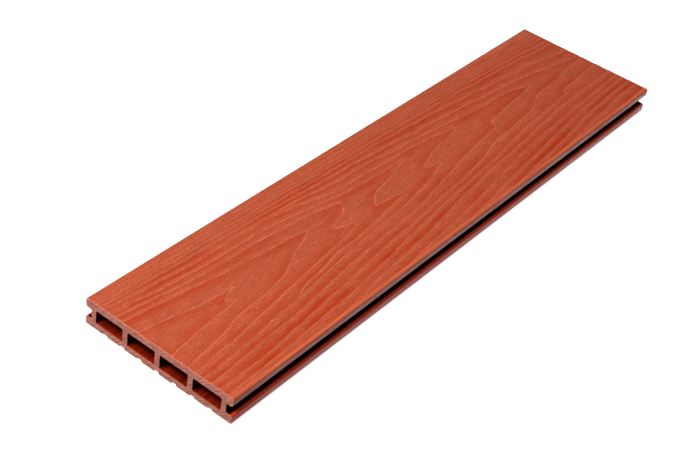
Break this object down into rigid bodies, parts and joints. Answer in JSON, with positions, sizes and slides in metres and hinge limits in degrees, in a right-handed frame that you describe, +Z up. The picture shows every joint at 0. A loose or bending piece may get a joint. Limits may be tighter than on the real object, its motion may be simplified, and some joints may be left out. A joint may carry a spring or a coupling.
{
  "type": "hollow composite decking board",
  "caption": "Short length of hollow wood-plastic decking board with an embossed wood grain top, square chambers, a clip groove along each edge and relief channels below.",
  "frame": {"origin": "middle of the underside, on the plane of its two lowest pads, which the board rests on", "axes": "+X across the board, +Y along it away from the near sawn end, +Z up through the embossed face"},
  "size_m": [0.147, 0.61, 0.026],
  "materials": {
    "composite": "matte"
  },
  "bodies": {
    "root": {"decking_board": "composite"}
  },
  "joints": []
}
